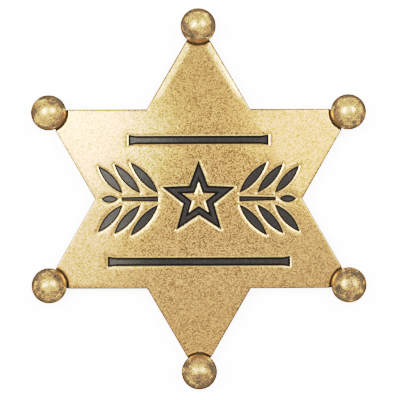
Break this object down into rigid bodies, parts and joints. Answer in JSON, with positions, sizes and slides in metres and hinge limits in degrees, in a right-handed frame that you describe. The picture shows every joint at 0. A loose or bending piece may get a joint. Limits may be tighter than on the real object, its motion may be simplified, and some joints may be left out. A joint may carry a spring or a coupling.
{
  "type": "star badge with ball tips",
  "caption": "Domed six-pointed brass star badge with a ball on each point, black filled rules, star and leaf sprigs, and a pin bar across the hollow back.",
  "frame": {"origin": "on the axis of the star, at the level of the balls' feet, which the badge lies on", "axes": "+X to the right of the face, +Y towards the top point, +Z out of the face"},
  "size_m": [0.0672, 0.0764, 0.007],
  "materials": {
    "antique_brass": "antique, brushed and speckled",
    "ball_brass": "antique, polished, with brown patina",
    "black_filling": "satin black enamel paint",
    "pin_steel": "plated, bright"
  },
  "bodies": {
    "root": {"star_plate": "antique_brass", "ball_tip_1": "ball_brass", "ball_tip_2": "ball_brass", "ball_tip_3": "ball_brass", "ball_tip_4": "ball_brass", "ball_tip_5": "ball_brass", "ball_tip_6": "ball_brass", "fill_rule_upper": "black_filling", "fill_rule_lower": "black_filling", "fill_star": "black_filling", "fill_sprig_left": "black_filling", "fill_sprig_right": "black_filling", "pin_bar": "pin_steel"}
  },
  "joints": []
}
